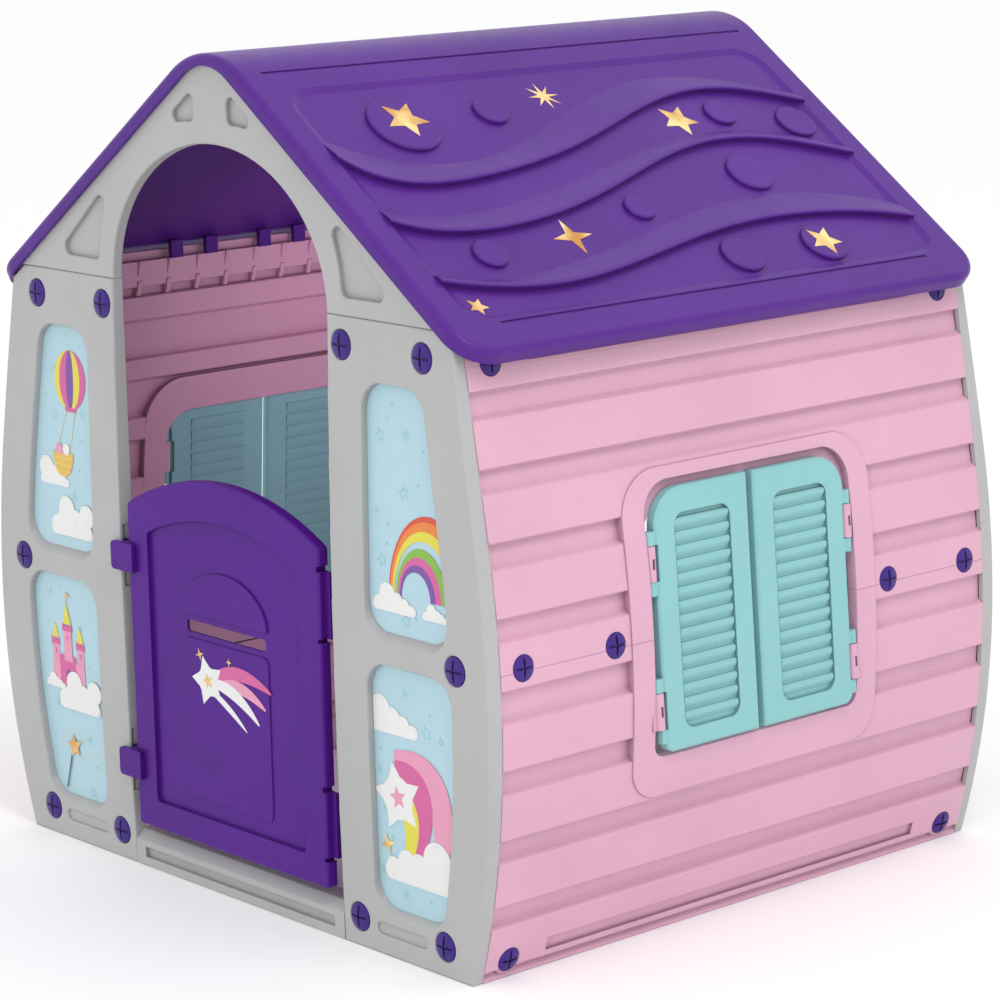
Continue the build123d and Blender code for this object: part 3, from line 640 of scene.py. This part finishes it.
def flat_block(name, size, lean, soften):
    """A small moulded block at the centre, its lower edge drawn back by lean along X."""
    bpy.ops.object.select_all(action="DESELECT")
    bpy.ops.mesh.primitive_cube_add(size=1)
    block = bpy.context.object
    block.name = name
    block.scale = size
    bpy.ops.object.transform_apply(location=False, rotation=False, scale=True)
    bpy.ops.object.mode_set(mode="EDIT")
    bpy.ops.mesh.select_mode(type="VERT")
    bpy.ops.mesh.select_all(action="DESELECT")
    bpy.ops.object.mode_set(mode="OBJECT")
    face = 1 if lean > 0 else -1
    for vertex in block.data.vertices:
        vertex.select = vertex.co.z < 0 and vertex.co.x * face < 0
    bpy.ops.object.mode_set(mode="EDIT")
    bpy.ops.transform.translate(value=(lean, 0, 0))
    bpy.ops.mesh.select_all(action="SELECT")
    bpy.ops.mesh.bevel(offset=soften, segments=2, affect="EDGES")
    bpy.ops.object.mode_set(mode="OBJECT")
    return block


def copied_along(block, places, turn, body, neighbour):
    """Copies a block to each place, joins the copies and finishes them like a neighbour."""
    copies = []
    for place in places:
        bpy.ops.object.select_all(action="DESELECT")
        block.select_set(True)
        bpy.context.view_layer.objects.active = block
        bpy.ops.object.duplicate(linked=False)
        copy = bpy.context.object
        copy.location = place
        copy.rotation_euler = turn
        copies.append(copy)
    name = block.name
    bpy.data.objects.remove(block)
    bpy.ops.object.select_all(action="DESELECT")
    for copy in copies:
        copy.select_set(True)
    bpy.context.view_layer.objects.active = copies[0]
    bpy.ops.object.join()
    bpy.ops.object.transform_apply(location=True, rotation=True, scale=True)
    piece = bpy.context.object
    piece.name = piece.data.name = name
    piece.data.materials.append(frame["nodes"][neighbour].material_slots[0].material)
    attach(piece, body)


class PLAYHOUSE_OT_wall_ribs(bpy.types.Operator):
    """Two rows of small ribs inside the top strip of each wall"""
    bl_idname = "playhouse.wall_ribs"
    bl_label = "Wall ribs"

    def execute(self, context):
        for side, sign in (("left", -1), ("right", 1)):
            rib = flat_block(f"{side}_wall_ribs", RIB_SIZE, sign * 0.006, 0.0012)
            places = [(sign * reach, 0.01 + RIB_PITCH * k, level)
                      for level, reach in RIB_ROWS for k in range(-6, 7)]
            copied_along(rib, places, (0, 0, 0), "house", f"{side}_wall_upper")
        return {"FINISHED"}


class PLAYHOUSE_OT_shutter_backs(bpy.types.Operator):
    """Louvres moulded into the back of each shutter"""
    bl_idname = "playhouse.shutter_backs"
    bl_label = "Shutter backs"

    def execute(self, context):
        lean = math.radians(SHUTTER_LEAN)
        for side, sign in (("left", -1), ("right", 1)):
            for row, middle in (("front", -SHUTTER_Y), ("rear", SHUTTER_Y)):
                louvre = flat_block(f"{side}_{row}_shutter_back", LOUVRE_SIZE, sign * 0.0024, 0.0007)
                places = []
                for k in range(LOUVRES):
                    up = SHUTTER_MIDDLE + (k - (LOUVRES - 1) / 2) * LOUVRE_PITCH
                    reach = SHUTTER_FOOT[0] - up * math.sin(lean) - BACK_DEEP * math.cos(lean)
                    level = SHUTTER_FOOT[1] + up * math.cos(lean) - BACK_DEEP * math.sin(lean)
                    places.append((sign * reach, middle, level))
                copied_along(louvre, places, (0, -sign * lean, 0), f"{side}_{row}_shutter_body",
                             f"{side}_{row}_shutter")
        return {"FINISHED"}


# ---------------------------------------------------------------- stage

class PLAYHOUSE_OT_stage(bpy.types.Operator):
    """Pale floor, soft light and the camera"""
    bl_idname = "playhouse.stage"
    bl_label = "Stage"

    def softbox(self, name, place, aim, size, power):
        bpy.ops.object.light_add(type="AREA", location=place)
        lamp = bpy.context.object
        lamp.name = name
        lamp.data.energy = power
        lamp.data.shape = "RECTANGLE"
        lamp.data.size, lamp.data.size_y = size
        lamp.rotation_euler = (Vector(aim) - Vector(place)).to_track_quat("-Z", "Y").to_euler()

    def execute(self, context):
        bpy.ops.object.select_all(action="DESELECT")
        bpy.ops.mesh.primitive_plane_add(size=120, location=(0, 0, -0.0005))
        floor = bpy.context.object
        floor.name = "studio_floor"
        white = bpy.data.materials.new("studio_white")
        white.use_nodes = True
        shader = white.node_tree.nodes["Principled BSDF"]
        shader.inputs["Base Color"].default_value = (0.98, 0.98, 0.98, 1)
        shader.inputs["Roughness"].default_value = 0.9
        shader.inputs["Specular IOR Level"].default_value = 0.1
        floor.data.materials.append(white)
        sky = bpy.data.worlds.new("studio")
        sky.use_nodes = True
        sky.node_tree.nodes["Background"].inputs["Color"].default_value = (1, 1, 1, 1)
        sky.node_tree.nodes["Background"].inputs["Strength"].default_value = 1.0
        context.scene.world = sky
        self.softbox("key_softbox", (2.6, -0.9, 4.2), (0.2, 0, 0.6), (1.3, 1.3), 46)
        self.softbox("front_softbox", (2.0, -3.8, 1.4), (0.1, 0, 0.2), (2.0, 1.6), 6)
        self.softbox("room_softbox", (0.0, 0.0, 0.70), (-0.4, 0.3, 0.55), (0.3, 0.3), 0.95)
        bpy.context.object.data.color = (1.0, 0.74, 0.96)
        bpy.context.object.visible_camera = False
        bpy.ops.object.camera_add(location=(3.42597, -2.98612, 1.41454),
                                  rotation=(1.363685, 0.019588, 0.845856))
        camera = bpy.context.object
        camera.name = "studio_camera"
        camera.data.sensor_width = 36.0
        camera.data.lens = 123.808
        camera.data.clip_end = 300
        context.scene.camera = camera
        context.scene.view_settings.view_transform = "Standard"
        return {"FINISHED"}


class PLAYHOUSE_PT_sidebar(bpy.types.Panel):
    """Lists the playhouse's pieces"""
    bl_idname = "PLAYHOUSE_PT_sidebar"
    bl_label = "Playhouse"
    bl_space_type = "VIEW_3D"
    bl_region_type = "UI"
    bl_category = "Playhouse"

    def draw(self, context):
        for group in (plastics(), prints()):
            for key in group.__annotations__:
                self.layout.prop(group, key)
        for operator in STEPS:
            self.layout.operator(operator.bl_idname)


STEPS = (
    PLAYHOUSE_OT_plastics,
    PLAYHOUSE_OT_wall_ribs,
    PLAYHOUSE_OT_shutter_backs,
    PLAYHOUSE_OT_balloon,
    PLAYHOUSE_OT_castle,
    PLAYHOUSE_OT_rainbow,
    PLAYHOUSE_OT_comet,
    PLAYHOUSE_OT_door_comet,
    PLAYHOUSE_OT_stage,
)
GROUPS = (PlayhousePlastics, PlayhousePrints)


def register():
    for made in (*GROUPS, *STEPS, PLAYHOUSE_PT_sidebar):
        bpy.utils.register_class(made)
    bpy.types.Scene.playhouse_plastics = PointerProperty(type=PlayhousePlastics)
    bpy.types.Scene.playhouse_prints = PointerProperty(type=PlayhousePrints)


def unregister():
    del bpy.types.Scene.playhouse_prints
    del bpy.types.Scene.playhouse_plastics
    for made in (PLAYHOUSE_PT_sidebar, *reversed(STEPS), *reversed(GROUPS)):
        bpy.utils.unregister_class(made)


def main():
    register()
    for operator in STEPS:
        group, name = operator.bl_idname.split(".")
        getattr(getattr(bpy.ops, group), name)()


if __name__ == "__main__":
    main()
